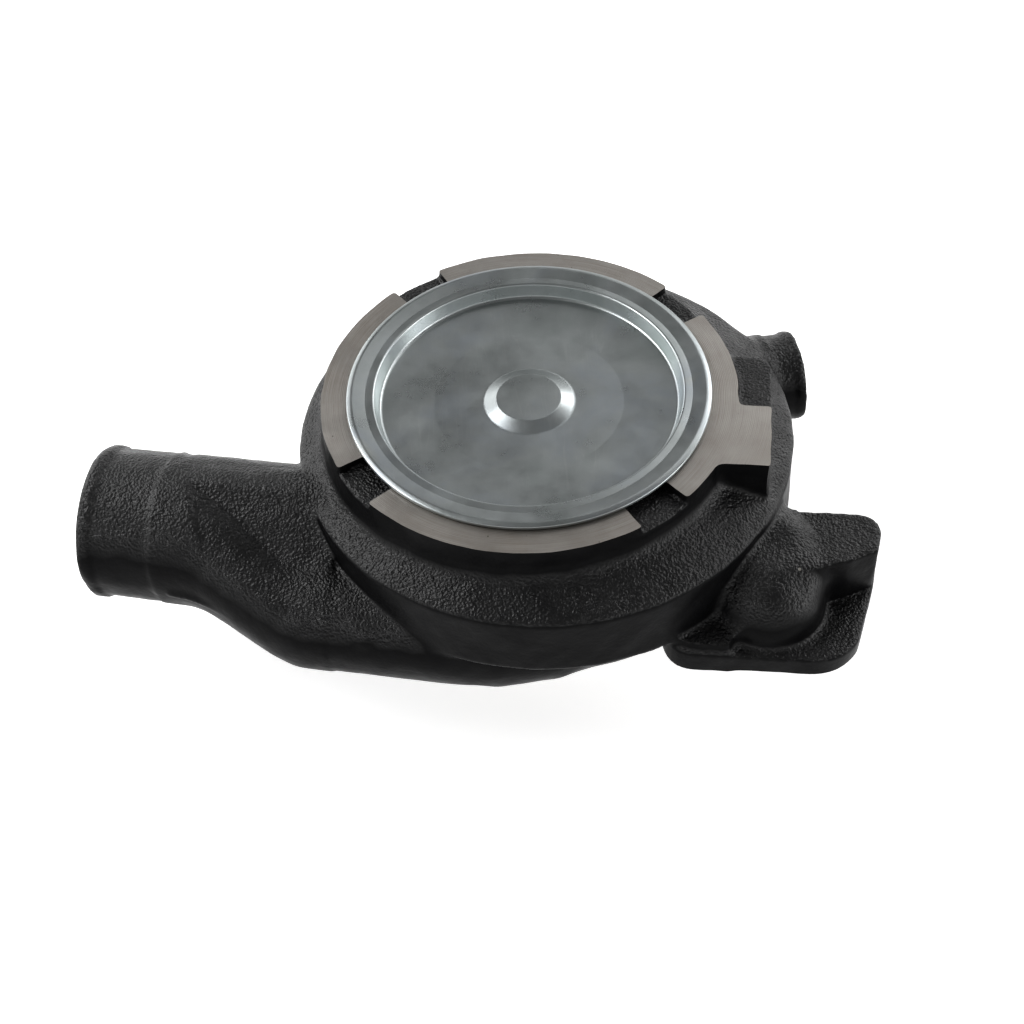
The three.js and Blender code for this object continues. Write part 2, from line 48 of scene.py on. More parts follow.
# ------------------------------------------------------------------ sizes, in millimetres
FLANGE_TOP = 108.0
PAD_Z = FLANGE_TOP - 2.4
PAD_R = 74.2
PAD_FOOT_Z = 80                 # where the pad ring runs into the shoulder
COVER_R = 65.0
COVER_BORE_R = 57.6
MACHINING = 1.2                 # stock that the casting carries where it is machined
DRUM_CENTRE = (5.3, -0.5)
DRUM_R = 90.4
SHOULDER_Z = 86.5
WALL_FOOT_Z = 62.0
SCROLL_R, SCROLL_ROUND, SCROLL_Z = 60.0, 22.0, 56.0
LOBE_ROUND, LOBE_Z, LOBE_SIDE = 21.5, 52.5, 66.8
WALL_SIDE, WALL_DRAFT = 82.0, 1.6   # the duct's near wall: its foot, and how far its rim leans in
RIDGE_STEPS, RIDGE_R, RIDGE_TOP = 8, 3.4, 76.5
INLET = dict(angle=167.5, offset=44.5, z=62.3, reach=153.5, r=27.5, bore=23.5)
BYPASS = dict(angle=9.0, offset=20.2, z=68.0, reach=109.0, r=16.0, bore=12.0)
PORT_TURN = -8.5
OUTLET = dict(u=88.0, v=-55.0, r=20.0, bore=15.0, face=51.0, plate=59.0, boss=80.0)
OUTLET_BOLTS = ((114.5, -38.5, 70), (62.5, -66, 61))      # u, v and the hole's top
BOLT_HOLE_R = 3.4
MOUNT_Z = 29.0
REAR_HOLE_R, REAR_HOLE_TOP = 4.2, 39
REAR_BOLT_ANGLES = (25, 110, 175, 247)
REAR_BOLT_CIRCLE = 60.0
POCKET_ANGLES = (34.7, 122.3, 212.5, 304.7)
POCKET_DEPTH = 3
WEEP_ANGLE, WEEP_Z, WEEP_R = 82.0, 57.0, 2.2

GRID = 0.9   # spacing of the casting's distance field


# ------------------------------------------------------------------ distance fields
def arc(cx, cy, r, start, end, steps):
    """Points along an arc, angles in degrees."""
    turns = [math.radians(start + (end - start) * i / steps) for i in range(steps + 1)]
    return [(cx + r * math.cos(t), cy + r * math.sin(t)) for t in turns]


def rounded_box(u0, u1, v0, v1, radii, steps=8):
    """A rectangle with its own radius at the near left, near right, far right and far left."""
    a, b, c, d = radii
    return (arc(u0 + a, v0 + a, a, 180, 270, steps) + arc(u1 - b, v0 + b, b, 270, 360, steps)
            + arc(u1 - c, v1 - c, c, 0, 90, steps) + arc(u0 + d, v1 - d, d, 90, 180, steps))


def outline_distance(x, y, points):
    """Signed distance from a closed outline, negative inside."""
    shape = np.broadcast(x, y).shape
    nearest = np.full(shape, 1e9, np.float32)
    inside = np.zeros(shape, bool)
    for (ax, ay), (bx, by) in zip(points, points[1:] + points[:1]):
        ex, ey = bx - ax, by - ay
        length2 = ex * ex + ey * ey
        if length2 < 1e-12:
            continue
        t = np.clip(((x - ax) * ex + (y - ay) * ey) / length2, 0, 1)
        nearest = np.minimum(nearest, (x - ax - t * ex) ** 2 + (y - ay - t * ey) ** 2)
        if ey:
            inside ^= ((ay > y) != (by > y)) & (x < ex * (y - ay) / ey + ax)
    return np.where(inside, -1, 1).astype(np.float32) * np.sqrt(nearest)


def blend(a, b, k):
    """Smooth union with a fillet of about k."""
    h = np.clip(0.5 + 0.5 * (b - a) / k, 0, 1)
    return b + (a - b) * h - k * h * (1 - h)


def carve(a, b, k=0.01):
    """What is left of a without b, with the edge eased by about k."""
    return -blend(-a, b, k)


class Field:
    """A box of sample points, and the shapes that fill it."""

    def __init__(self, low, high, step):
        self.low, self.step = np.array(low, float), step
        counts = [int(round((h - l) / step)) + 1 for l, h in zip(low, high)]
        axes = [(l + step * np.arange(n)).astype(np.float32) for l, n in zip(low, counts)]
        self.x = axes[0][:, None, None]
        self.y = axes[1][None, :, None]
        self.z = axes[2][None, None, :]

    def lathe(self, outline, centre=(0.0, 0.0), far=1.0):
        """A solid of revolution from its (radius, z) outline, by a table of radius against z.
        Its far half can be a little flatter than its near half."""
        r_step = 0.5
        radii = np.arange(0, 260, r_step, dtype=np.float32)[:, None]
        table = outline_distance(radii, self.z[0, 0][None, :], outline)
        y = self.y - centre[1]
        r = np.hypot(self.x - centre[0], np.where(y > 0, y * far, y))[:, :, 0] / r_step
        i = np.minimum(r.astype(int), len(radii) - 2)
        f = (r - i)[:, :, None]
        return table[i] * (1 - f) + table[i + 1] * f

    def plate(self, points, z0, z1, turn=0.0):
        """A flat shape between two heights, its plan turned by an angle."""
        c, s = math.cos(math.radians(turn)), math.sin(math.radians(turn))
        u = self.x * c + self.y * s
        v = self.y * c - self.x * s
        plan = outline_distance(u[:, :, 0], v[:, :, 0], points)[:, :, None]
        return np.maximum(plan, np.maximum(z0 - self.z, self.z - z1))

    def along(self, pipe):
        """Distance along a pipe's axis, to its side and above it."""
        c, s = math.cos(math.radians(pipe["angle"])), math.sin(math.radians(pipe["angle"]))
        return (self.x * c + self.y * s, self.y * c - self.x * s - pipe["offset"],
                self.z - pipe["z"])

    def pipe(self, pipe, r, start, end):
        """A round bar on a pipe's axis."""
        a, side, up = self.along(pipe)
        return np.maximum(np.hypot(side, up) - r, np.maximum(start - a, a - end))

    def duct(self, pipe, stations, power=2.0):
        """A tube whose section changes along a pipe: stations of (along, side, up, half side, half
        height), joined by straight runs between them."""
        a, side, up = self.along(pipe)
        at = np.array([s[0] for s in stations])
        line = a[:, :, 0]

        def value(k):
            return np.interp(line, at, [s[k] for s in stations]).astype(np.float32)[:, :, None]
        ru, rv = value(3), value(4)
        q = (np.abs((side - value(1)) / ru) ** power
             + np.abs((up - value(2)) / rv) ** power) ** (1 / power)
        wall = (q - 1) * np.minimum(ru, rv)
        return np.maximum(wall, np.maximum(at[0] - a, a - at[-1]))

    def ball(self, centre, radii):
        q = sum(((p - c) / r) ** 2 for p, c, r in zip((self.x, self.y, self.z), centre, radii))
        return (np.sqrt(q) - 1) * min(radii)

    def rope(self, points, r):
        """A round bead laid through points."""
        nearest = None
        for p, q in zip(points, points[1:]):
            d = [b - a for a, b in zip(p, q)]
            rel = [c - a for c, a in zip((self.x, self.y, self.z), p)]
            t = np.clip(sum(e * w for e, w in zip(d, rel)) / sum(e * e for e in d), 0, 1)
            gap = np.sqrt(sum((w - t * e) ** 2 for e, w in zip(d, rel))) - r
            nearest = gap if nearest is None else np.minimum(nearest, gap)
        return nearest

    def mesh(self, values, name):
        """The zero surface of a field as a mesh in metres."""
        band = 3 * self.step
        grid = openvdb.FloatGrid(band)
        grid.copyFromArray(np.clip(values, -band, band).astype(np.float32))
        points, _, quads = grid.convertToPolygons(isovalue=0.0, adaptivity=0.0)
        points = (points * self.step + self.low) * MM
        return mesh_from(name, points, quads)


def mesh_from(name, points, quads):
    mesh = bpy.data.meshes.new(name)
    mesh.vertices.add(len(points))
    mesh.vertices.foreach_set("co", np.ascontiguousarray(points, np.float32).ravel())
    mesh.loops.add(quads.size)
    mesh.loops.foreach_set("vertex_index", quads.astype(np.int32).ravel())
    mesh.polygons.add(len(quads))
    mesh.polygons.foreach_set("loop_start", np.arange(0, quads.size, 4, dtype=np.int32))
    mesh.update(calc_edges=True)
    if signed_volume(mesh) < 0:
        mesh.flip_normals()
    return mesh


def signed_volume(mesh):
    bm = bmesh.new()
    bm.from_mesh(mesh)
    volume = bm.calc_volume(signed=True)
    bm.free()
    return volume


# ------------------------------------------------------------------ meshes
def add_object(name, mesh):
    obj = bpy.data.objects.new(name, mesh)
    bpy.context.collection.objects.link(obj)
    return obj


def lathe_mesh(name, outline, sides=128):
    """A closed mesh of revolution in metres from its (radius, z) outline in millimetres."""
    bm = bmesh.new()
    rings = []
    for r, z in outline:
        if r < 1e-6:
            rings.append([bm.verts.new((0, 0, z * MM))])
            continue
        rings.append([bm.verts.new((r * MM * math.cos(a), r * MM * math.sin(a), z * MM))
                      for a in (2 * math.pi * i / sides for i in range(sides))])
    closed = list(zip(rings, rings[1:] + rings[:1]))
    for lower, upper in closed:
        if len(lower) == 1 and len(upper) == 1:
            continue
        for i in range(sides):
            j = (i + 1) % sides
            if len(lower) == 1:
                bm.faces.new((lower[0], upper[j], upper[i]))
            elif len(upper) == 1:
                bm.faces.new((lower[i], lower[j], upper[0]))
            else:
                bm.faces.new((lower[i], lower[j], upper[j], upper[i]))
    bmesh.ops.recalc_face_normals(bm, faces=bm.faces)
    mesh = bpy.data.meshes.new(name)
    bm.to_mesh(mesh)
    bm.free()
    return mesh


def plate_mesh(name, points, z0, z1, turn=0.0):
    bm = bmesh.new()
    c, s = math.cos(math.radians(turn)), math.sin(math.radians(turn))
    ring = [bm.verts.new(((x * c - y * s) * MM, (x * s + y * c) * MM, z0 * MM)) for x, y in points]
    face = bm.faces.new(ring)
    made = bmesh.ops.extrude_face_region(bm, geom=[face])
    bmesh.ops.translate(bm, vec=(0, 0, (z1 - z0) * MM),
                        verts=[v for v in made["geom"] if isinstance(v, bmesh.types.BMVert)])
    bmesh.ops.recalc_face_normals(bm, faces=bm.faces)
    mesh = bpy.data.meshes.new(name)
    bm.to_mesh(mesh)
    bm.free()
    return mesh


def pipe_frame(pipe):
    """The matrix that lays +Z along a pipe's axis."""
    return (Matrix.Rotation(math.radians(pipe["angle"]), 4, "Z")
            @ Matrix.Translation((0, pipe["offset"] * MM, pipe["z"] * MM))
            @ Matrix.Rotation(math.radians(90), 4, "Y"))


def join_or_cut(obj, mesh, operation):
    """Joins a closed mesh to an object, or cuts it away."""
    tool = add_object("cutter", mesh)
    step = obj.modifiers.new("step", "BOOLEAN")
    step.operation = operation
    step.solver = "MANIFOLD"
    step.object = tool
    result = bpy.data.meshes.new_from_object(
        obj.evaluated_get(bpy.context.evaluated_depsgraph_get()))
    obj.modifiers.clear()
    obj.data = result
    bpy.data.objects.remove(tool)


def machine(obj, cutters):
    """Cuts each closed mesh from an object."""
    for mesh in cutters:
        join_or_cut(obj, mesh, "DIFFERENCE")


def smooth(obj, angle=32):
    obj.data.shade_smooth()
    obj.data.set_sharp_from_angle(angle=math.radians(angle))


# ------------------------------------------------------------------ materials
class Shader:
    """A material's node tree, with short calls for the nodes used here."""

    def __init__(self, name):
        self.material = bpy.data.materials.new(name)
        self.material.use_nodes = True
        self.tree = self.material.node_tree
        self.surface = self.tree.nodes["Principled BSDF"]
        self.where = self.node("ShaderNodeTexCoord").outputs["Object"]

    def node(self, kind, **values):
        node = self.tree.nodes.new(kind)
        for key, value in values.items():
            setattr(node, key, value)
        return node

    def link(self, out, socket):
        self.tree.links.new(out, socket)

    def noise(self, scale, detail=2.0, roughness=0.5, where=None, distortion=0.0):
        node = self.node("ShaderNodeTexNoise")
        for key, value in (("Scale", scale), ("Detail", detail), ("Roughness", roughness),
                           ("Distortion", distortion)):
            node.inputs[key].default_value = value
        self.link(where or self.where, node.inputs["Vector"])
        return node.outputs["Fac"]

    def cells(self, scale, feature="F1"):
        node = self.node("ShaderNodeTexVoronoi", feature=feature)
        node.inputs["Scale"].default_value = scale
        self.link(self.where, node.inputs["Vector"])
        return node.outputs["Distance"]

    def math(self, operation, a, b=None):
        node = self.node("ShaderNodeMath", operation=operation)
        for socket, value in zip(node.inputs, (a, b)):
            if value is None:
                continue
            if isinstance(value, (int, float)):
                socket.default_value = value
            else:
                self.link(value, socket)
        return node.outputs[0]

    def ramp(self, value, stops):
        """Colours, or greys for single numbers, at positions along a value."""
        node = self.node("ShaderNodeValToRGB")
        elements = node.color_ramp.elements
        while len(elements) < len(stops):
            elements.new(0.5)
        for element, (position, colour) in zip(elements, stops):
            element.position = position
            rgb = colour if isinstance(colour, tuple) else (colour,) * 3
            element.color = (*rgb, 1)
        self.link(value, node.inputs["Fac"])
        return node.outputs["Color"]

    def mix(self, factor, a, b):
        node = self.node("ShaderNodeMix", data_type="RGBA")
        for key, value in ((0, factor), (6, a), (7, b)):
            socket = node.inputs[key]
            if isinstance(value, tuple):
                socket.default_value = (*value, 1)
            elif isinstance(value, (int, float)):
                socket.default_value = value
            else:
                self.link(value, socket)
        return node.outputs[2]

    def axis_polar(self):
        """A vector of (radius, angle, z) about the pump's axis, in metres and radians."""
        split = self.node("ShaderNodeSeparateXYZ")
        self.link(self.where, split.inputs[0])
        x, y, z = split.outputs
        radius = self.math("SQRT", self.math("ADD", self.math("MULTIPLY", x, x),
                                             self.math("MULTIPLY", y, y)))
        join = self.node("ShaderNodeCombineXYZ")
        self.link(radius, join.inputs[0])
        self.link(self.math("ARCTAN2", y, x), join.inputs[1])
        self.link(z, join.inputs[2])
        return join.outputs[0]

    def scaled(self, vector, scale):
        node = self.node("ShaderNodeMapping")
        node.inputs["Scale"].default_value = scale
        self.link(vector, node.inputs["Vector"])
        return node.outputs["Vector"]

    def bump(self, height, distance, strength=1.0):
        node = self.node("ShaderNodeBump")
        node.inputs["Strength"].default_value = strength
        node.inputs["Distance"].default_value = distance
        self.link(height, node.inputs["Height"])
        self.link(node.outputs["Normal"], self.surface.inputs["Normal"])

    def set(self, **values):
        for key, value in values.items():
            socket = self.surface.inputs[key.replace("_", " ")]
            if isinstance(value, tuple):
                socket.default_value = (*value, 1)
            elif isinstance(value, (int, float)):
                socket.default_value = value
            else:
                self.link(value, socket)


def black_paint():
    """Semi-gloss black over a sand casting: pebbled where the mould's sand lay on top, smooth on the
    drafted walls, with a few pale specks, and patchy dust on the upward faces whose lighter tone
    there is partly a painted sheen."""
    m = Shader("black_paint")
    geometry = m.node("ShaderNodeNewGeometry")
    split = m.node("ShaderNodeSeparateXYZ")
    m.link(geometry.outputs["Normal"], split.inputs[0])
    upward = m.ramp(split.outputs[2], [(0.36, 0.0), (0.66, 1.0)])
    grain = m.noise(1250, detail=1.5, roughness=0.5)
    pebbles = m.cells(900, "SMOOTH_F1")
    lumps = m.noise(190, detail=2)
    skin = m.math("ADD", m.math("MULTIPLY", grain, 0.8), m.math("MULTIPLY", pebbles, -0.6))
    patchy = m.ramp(m.noise(26, detail=2), [(0.36, 0.55), (0.64, 1.0)])
    strength = m.math("MULTIPLY", patchy, m.math("MAXIMUM", upward, 0.06))
    height = m.math("ADD", m.math("MULTIPLY", skin, strength), m.math("MULTIPLY", lumps, 0.28))
    m.bump(height, 0.0008, strength=1.0)
    # patchy dust, held to the upward faces: real dust, and also a painted sheen that lightens the
    # tops where light falls on them
    dust_and_sheen = m.ramp(m.noise(95, detail=4, roughness=0.7), [(0.5, 0.0), (0.78, 0.16)])
    base = m.mix(m.math("MULTIPLY", dust_and_sheen, upward), (0.0034, 0.0034, 0.0038), (0.03, 0.029, 0.031))
    speck = m.ramp(m.cells(46), [(0.018, 1.0), (0.03, 0.0)])
    sparse = m.ramp(m.noise(19, detail=0), [(0.6, 0.0), (0.66, 0.8)])
    base = m.mix(m.math("MULTIPLY", speck, sparse), base, (0.42, 0.4, 0.36))
    gloss = m.math("ADD", m.math("MULTIPLY", upward, 0.44), 0.07)
    m.set(Base_Color=base, Metallic=0.0, Specular_IOR_Level=gloss,
          Roughness=m.ramp(m.noise(140, detail=3), [(0.3, 0.31), (0.7, 0.45)]))
    return m.material


def machined_iron():
    """Faced grey iron: fine rings about the axis, with stains, small dents and scratches."""
    m = Shader("machined_iron")
    polar = m.axis_polar()
    rings = m.noise(1.0, detail=3, roughness=0.7, where=m.scaled(polar, (5200, 2.2, 0)))
    feed = m.node("ShaderNodeTexWave", wave_type="BANDS", bands_direction="X")
    feed.inputs["Scale"].default_value = 520
    feed.inputs["Distortion"].default_value = 0.6
    feed.inputs["Detail"].default_value = 1
    m.link(polar, feed.inputs["Vector"])
    stain = m.ramp(m.noise(38, detail=5, roughness=0.62), [(0.32, 0.0), (0.72, 1.0)])
    colour = m.mix(stain, (0.36, 0.34, 0.32), (0.23, 0.205, 0.18))
    colour = m.mix(m.ramp(rings, [(0.35, 0.0), (0.65, 0.55)]), colour, (0.47, 0.455, 0.43))
    pits = m.ramp(m.cells(300), [(0.05, 1.0), (0.11, 0.0)])
    pits = m.math("MULTIPLY", pits, m.ramp(m.noise(60), [(0.55, 0.0), (0.62, 1.0)]))
    colour = m.mix(pits, colour, (0.05, 0.045, 0.04))
    height = m.math("ADD", m.math("MULTIPLY", feed.outputs["Fac"], 0.5), rings)
    m.bump(m.math("SUBTRACT", height, pits), 0.00007, strength=0.7)
    m.set(Base_Color=colour, Metallic=0.75,
          Roughness=m.ramp(m.noise(70, detail=4), [(0.3, 0.34), (0.7, 0.5)]))
    return m.material


def scratches(m, scale, angle, width=0.012):
    """Fine straight marks in one direction."""
    turned_by = m.node("ShaderNodeMapping")
    turned_by.inputs["Rotation"].default_value = (0, 0, math.radians(angle))
    turned_by.inputs["Scale"].default_value = scale
    m.link(m.where, turned_by.inputs["Vector"])
    noise = m.noise(1.0, detail=2, roughness=0.4, where=turned_by.outputs["Vector"])
    return m.ramp(m.math("ABSOLUTE", m.math("SUBTRACT", noise, 0.5)),
                  [(0.0, 1.0), (width, 0.0)])


def zinc_plate():
    """Bright zinc with a cloudy passivate: faint blue, green and straw tints, and scuffs."""
    m = Shader("zinc_plate")
    cloud = m.noise(24, detail=6, roughness=0.62, distortion=0.4)
    fine = m.noise(170, detail=5, roughness=0.7)
    colour = m.ramp(cloud, [(0.3, (0.38, 0.415, 0.41)), (0.48, (0.46, 0.49, 0.49)),
                            (0.62, (0.425, 0.46, 0.485)), (0.75, (0.49, 0.505, 0.47))])
    colour = m.mix(m.ramp(fine, [(0.35, 0.0), (0.7, 0.35)]), colour, (0.36, 0.385, 0.39))
    marks = m.math("MAXIMUM", scratches(m, (260, 14, 1), 24), scratches(m, (190, 9, 1), -51, 0.008))
    marks = m.math("MULTIPLY", marks, m.ramp(m.noise(33, detail=1), [(0.5, 0.0), (0.66, 0.2)]))
    colour = m.mix(marks, colour, (0.6, 0.62, 0.61))
    m.bump(fine, 0.000015, strength=0.5)
    rough = m.ramp(m.noise(48, detail=5, roughness=0.66), [(0.3, 0.25), (0.7, 0.4)])
    m.set(Base_Color=colour, Metallic=1.0, Roughness=rough)
    return m.material


def metal(name, colour, darker, roughness, grain=900, bump=0.00002, streak=None, metallic=1.0):
    """A plain worked metal: two tones in a fine grain, or in streaks about the axis."""
    m = Shader(name)
    where = m.scaled(m.axis_polar(), streak) if streak else None
    fine = m.noise(1.0 if streak else grain, detail=4, roughness=0.65, where=where)
    cloud = m.noise(60, detail=4)
    tone = m.math("ADD", m.math("MULTIPLY", fine, 0.6), m.math("MULTIPLY", cloud, 0.4))
    m.set(Base_Color=m.ramp(tone, [(0.36, darker), (0.62, colour)]), Metallic=metallic,
          Roughness=m.ramp(cloud, [(0.3, roughness - 0.05), (0.7, roughness + 0.09)]))
    m.bump(fine, bump, strength=0.6)
    return m.material


def moulded(name, colour, roughness, grain=1400, sheen=0.0):
    """Rubber, carbon or ceramic: one tone with a fine grain and a little mottle."""
    m = Shader(name)
    fine = m.noise(grain, detail=3)
    cloud = m.noise(90, detail=3)
    pale = tuple(min(1.0, c * 1.7 + 0.006) for c in colour)
    m.set(Base_Color=m.ramp(cloud, [(0.35, colour), (0.75, pale)]), Metallic=0.0,
          Roughness=m.ramp(fine, [(0.3, roughness - 0.06), (0.7, roughness + 0.1)]))
    m.surface.inputs["Sheen Weight"].default_value = sheen
    m.bump(fine, 0.00003, strength=0.5)
    return m.material


PAINT = black_paint()
MACHINED = machined_iron()
ZINC = zinc_plate()
TURNED_STEEL = metal("turned_steel", (0.55, 0.55, 0.56), (0.38, 0.38, 0.39), 0.28,
                     streak=(3000, 1.5, 2400))
BEARING_STEEL = metal("bearing_steel", (0.6, 0.61, 0.62), (0.5, 0.51, 0.52), 0.17,
                      streak=(4000, 1.2, 3500))
GEAR_STEEL = metal("gear_steel", (0.4, 0.395, 0.39), (0.24, 0.235, 0.23), 0.33,
                   streak=(2600, 1.5, 900))
SPRING_STEEL = metal("spring_steel", (0.2, 0.2, 0.21), (0.09, 0.09, 0.1), 0.36)
HARDWARE_ZINC = metal("hardware_zinc", (0.56, 0.57, 0.55), (0.42, 0.44, 0.44), 0.3)
BARE_IRON = metal("bare_iron", (0.13, 0.12, 0.11), (0.06, 0.055, 0.05), 0.62, grain=700,
                  bump=0.0002, metallic=0.6)
BRASS = metal("brass", (0.7, 0.5, 0.2), (0.52, 0.36, 0.13), 0.27)
RUBBER = moulded("seal_rubber", (0.012, 0.012, 0.012), 0.55, sheen=0.1)
CARBON = moulded("carbon", (0.02, 0.02, 0.021), 0.4)
CERAMIC = moulded("ceramic", (0.5, 0.47, 0.4), 0.28)


# ------------------------------------------------------------------ the casting
def uv(u, v):
    """A point of the outlet flange's turned frame, in the pump's frame."""
    c, s = math.cos(math.radians(PORT_TURN)), math.sin(math.radians(PORT_TURN))
    return u * c - v * s, u * s + v * c


def outer_skin(f):
    """The drum and the pad ring, with stock for machining."""
    underside = arc(SCROLL_R, SCROLL_Z, SCROLL_ROUND, -90, 0, 14)
    drum = f.lathe([(0, SCROLL_Z - SCROLL_ROUND)] + underside
                   + [(SCROLL_R + SCROLL_ROUND, WALL_FOOT_Z - 1.2), (DRUM_R - 0.8, WALL_FOOT_Z - 0.4),
                      (DRUM_R, WALL_FOOT_Z + 0.6), (DRUM_R - 0.6, SHOULDER_Z - 1),
                      (DRUM_R - 1.1, SHOULDER_Z), (DRUM_R - 2.4, SHOULDER_Z + 0.9),
                      (68, 97), (0, 97)], DRUM_CENTRE, far=1.03)
    ring = f.lathe([(0, PAD_FOOT_Z), (PAD_R + 1.6, PAD_FOOT_Z), (PAD_R + 0.8, 95),
                    (PAD_R, PAD_Z + MACHINING), (0, PAD_Z + MACHINING)])
    body = blend(drum, ring, 4.5)
    lug = f.plate([(50, -31), (85.3, -31), (85.7, -3), (50, -3)], 70, PAD_Z + MACHINING, PORT_TURN)
    boss = f.plate(rounded_box(50, 86, -5, 23.5, (0.5, 0.5, 6, 0.5)), 70, PAD_Z - 1.6, PORT_TURN)
    pocket = [(58, -8.6), (84, -10.8), (84, 10.8), (58, 8.6)]
    for angle in POCKET_ANGLES:
        body = carve(body, f.plate(pocket, PAD_Z - POCKET_DEPTH, 120, angle), 0.8)
    return blend(body, blend(lug, boss, 0.8), 2.2)


def ease(t):
    """A smooth step from 0 to 1."""
    t = np.clip(t, 0, 1)
    return t * t * (3 - 2 * t)


def inlet_point(along, side):
    a = math.radians(INLET["angle"])
    return (along * math.cos(a) - side * math.sin(a), along * math.sin(a) + side * math.cos(a))


def drum_point(r, degrees):
    a = math.radians(degrees)
    return (DRUM_CENTRE[0] + r * math.cos(a), DRUM_CENTRE[1] + r * math.sin(a))


def suction_lobe(f):
    """The chamber's bulge: in line with the inlet, then round the drum's near side."""
    path = [inlet_point(68, LOBE_SIDE), inlet_point(20, LOBE_SIDE), drum_point(66.8, -109),
            drum_point(61.8, -95), drum_point(56, -75), drum_point(48, -55)]
    back = [drum_point(40, -55), drum_point(42, -95), inlet_point(20, 50), inlet_point(68, 50)]
    plan = outline_distance(f.x[:, :, 0], f.y[:, :, 0], path + back)[:, :, None]
    body = np.hypot(np.maximum(plan, 0), f.z - LOBE_Z) - LOBE_ROUND

    # the flare that opens the spigot's round into the bulge
    a, side, up = f.along(INLET)
    t = ease((122 - a) / (122 - 68))
    middle = (LOBE_SIDE - INLET["offset"]) * t
    sink = (LOBE_Z - INLET["z"]) * t
    r = INLET["r"] + (LOBE_ROUND - INLET["r"]) * t
    across = np.maximum(side - middle, 0) + np.minimum(side, 0)
    tilt = np.where(side < middle, np.clip(side / np.maximum(middle, 0.5), 0, 1), 1)
    flare = np.hypot(across, up - sink * tilt) - (INLET["r"] + (r - INLET["r"]) * tilt)
    flare = np.maximum(flare, np.maximum(60 - a, a - 126))
    return blend(body, flare, 1.5)


def inlet_shape(f, body):
    reach, r = INLET["reach"], INLET["r"]
    a, side, up = f.along(INLET)
    t, z = side + INLET["offset"], up + INLET["z"]
    # above the chamber: a flat top falling to the near side, over a drafted near wall
    top = np.maximum(np.hypot(np.minimum(side, 0), up) - r, 58 - z)
    flat = ((z - 86.6) + 0.27 * (t - 34) - 0.09 * (a - 104)) * 0.96
    foot = WALL_SIDE - 0.21 * np.maximum(a - 69, 0)
    rim = WALL_SIDE - WALL_DRAFT - 0.335 * np.maximum(a - 59, 0)
    rim_z = 86.3 - 0.27 * (rim - 34)
    wall = (t - foot - (rim - foot) * (z - WALL_FOOT_Z) / (rim_z - WALL_FOOT_Z)) * 0.9
    top = -blend(-np.maximum(top, -20), -flat, 2.0)
    top = -blend(-top, -wall.astype(np.float32), 2.4)
    top = np.maximum(top, np.maximum(20 - a, a - 121))
    spigot = np.hypot(side, up) - r
    spigot = np.maximum(spigot, np.maximum(119 - 0.42 * (t - 40) - a, a - reach - MACHINING))
    bead = f.pipe(INLET, r + 0.8, reach - 4.2, reach - 0.9)
    duct = blend(blend(top, suction_lobe(f), 1.2), spigot, 2.4)
    # the rounded ridge where the volute shows through beside the drum
    ridge_path = []
    for step in range(RIDGE_STEPS + 1):
        t = step / RIDGE_STEPS
        ridge_path.append((*drum_point(DRUM_R + 1.6 + 5.5 * t * t, 185 + 41 * t),
                           RIDGE_TOP - 14.5 * t * t))
    ridge = f.rope(ridge_path, RIDGE_R)
    duct = blend(duct, ridge, 3.2)
    return blend(blend(duct, bead, 1.4), body, 1.6)


def bypass_shape(f, body):
    reach, r = BYPASS["reach"], BYPASS["r"]
    neck = f.duct(BYPASS, [(60, -3, 0, r + 9, r + 4), (82, -1.5, 0, r + 4, r + 2),
                           (96, 0, 0, r + 0.6, r + 0.6)])
    spigot = f.pipe(BYPASS, r + 0.5, 70, reach - 0.8)
    bead = f.pipe(BYPASS, r + 0.9, reach - 3.4, reach - 1.4)
    return blend(body, blend(blend(neck, spigot, 4.0), bead, 2.0), 4.0)


def outlet_plan(grow=0.0):
    g = grow
    return (arc(62.5 - g, -67.5 - g, 10, 180, 270, 6) + arc(102.6, -59.5 - g, 18, 270, 335, 8)
            + [(124.2 + g, -46.8)] + arc(117.9 + g, -35, 8, 0, 90, 6) + [(52.5, -27)])


def outlet_shape(f, body):
    """A tube that turns down from the drum into a flange with a tall boss on one ear."""
    o = OUTLET
    plate = f.plate(outlet_plan(), o["face"] - MACHINING, o["plate"], PORT_TURN)
    boss_plan = ([(90, -56), (104.4, -53), (114.3, -49.6), (123.9, -44.4)]
                 + arc(117.7, -36, 7.8, 0, 90, 6) + [(90, -28.2)])
    boss = f.plate(boss_plan, 54, o["boss"], PORT_TURN)
    foot = f.plate(arc(62.5, -67.5, 9, 180, 270, 6) + [(74, -76.5), (80, -60), (52.5, -56)],
                   52, WALL_FOOT_Z + 2, PORT_TURN)
    tube = f.rope([(*uv(o["u"], o["v"]), 52), (*uv(o["u"], o["v"]), 61)], o["r"] - 1.5)
    x, y = uv(o["u"] - 3, o["v"] + 5)
    bend = f.ball((x, y, 62), (20, 20, 18.5))
    neck = f.rope([(*uv(84, -48), 64), (*uv(80, -36), 68), (*uv(74, -20), 70)], 15)
    crest = f.rope([(*uv(86, -27), 74), (*uv(94, -39), 76), (*uv(99, -50), 71)], 7)
    elbow = blend(blend(blend(tube, bend, 6.0), neck, 8.0), crest, 7.0)
    elbow = np.maximum(elbow, o["face"] - MACHINING - f.z)      # nothing below the flange's face
    shape = blend(blend(plate, boss, 0.6), elbow, 3.4)
    rib = f.rope([(*uv(74.2, -61), 74), (*uv(75.0, -63), 60)], 1.0)
    return blend(blend(body, blend(shape, foot, 5.0), 3.0), rib, 2.2)


